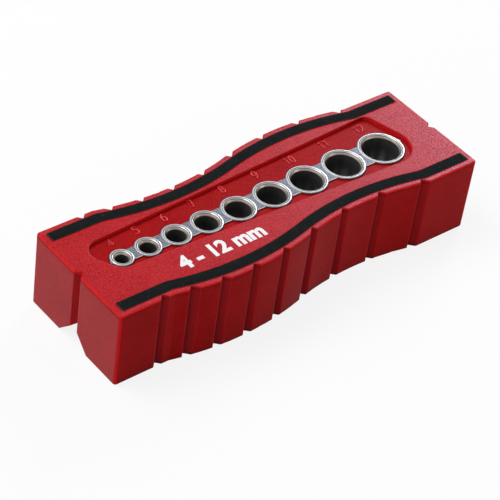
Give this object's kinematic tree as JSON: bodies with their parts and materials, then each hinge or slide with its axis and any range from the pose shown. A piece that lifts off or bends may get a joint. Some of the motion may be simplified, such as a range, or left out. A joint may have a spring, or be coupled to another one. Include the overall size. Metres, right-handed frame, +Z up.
{
  "type": "drill guide",
  "caption": "Hand-held drill guide: a waved moulded block with a graded row of steel drill bushes, grip strips, centre marks and a V groove underneath.",
  "frame": {"origin": "middle of the underside of the block", "axes": "+X along the row of bushes to the largest one, +Y to the side with the size numbers, +Z up through the bushes"},
  "size_m": [0.139, 0.0488, 0.0273],
  "materials": {
    "body_plastic": "moulded, fine matte grain",
    "rail_metal": "matte as-cast",
    "bush_steel": "bright turned rim, dark hardened bore",
    "strip_rubber": "matte soft strip"
  },
  "bodies": {
    "root": {"body": "body_plastic", "ring_rail": "rail_metal", "bush_1": "bush_steel", "bush_2": "bush_steel", "bush_3": "bush_steel", "bush_4": "bush_steel", "bush_5": "bush_steel", "bush_6": "bush_steel", "bush_7": "bush_steel", "bush_8": "bush_steel", "bush_9": "bush_steel", "grip_strip_left": "strip_rubber", "grip_strip_right": "strip_rubber"}
  },
  "joints": []
}
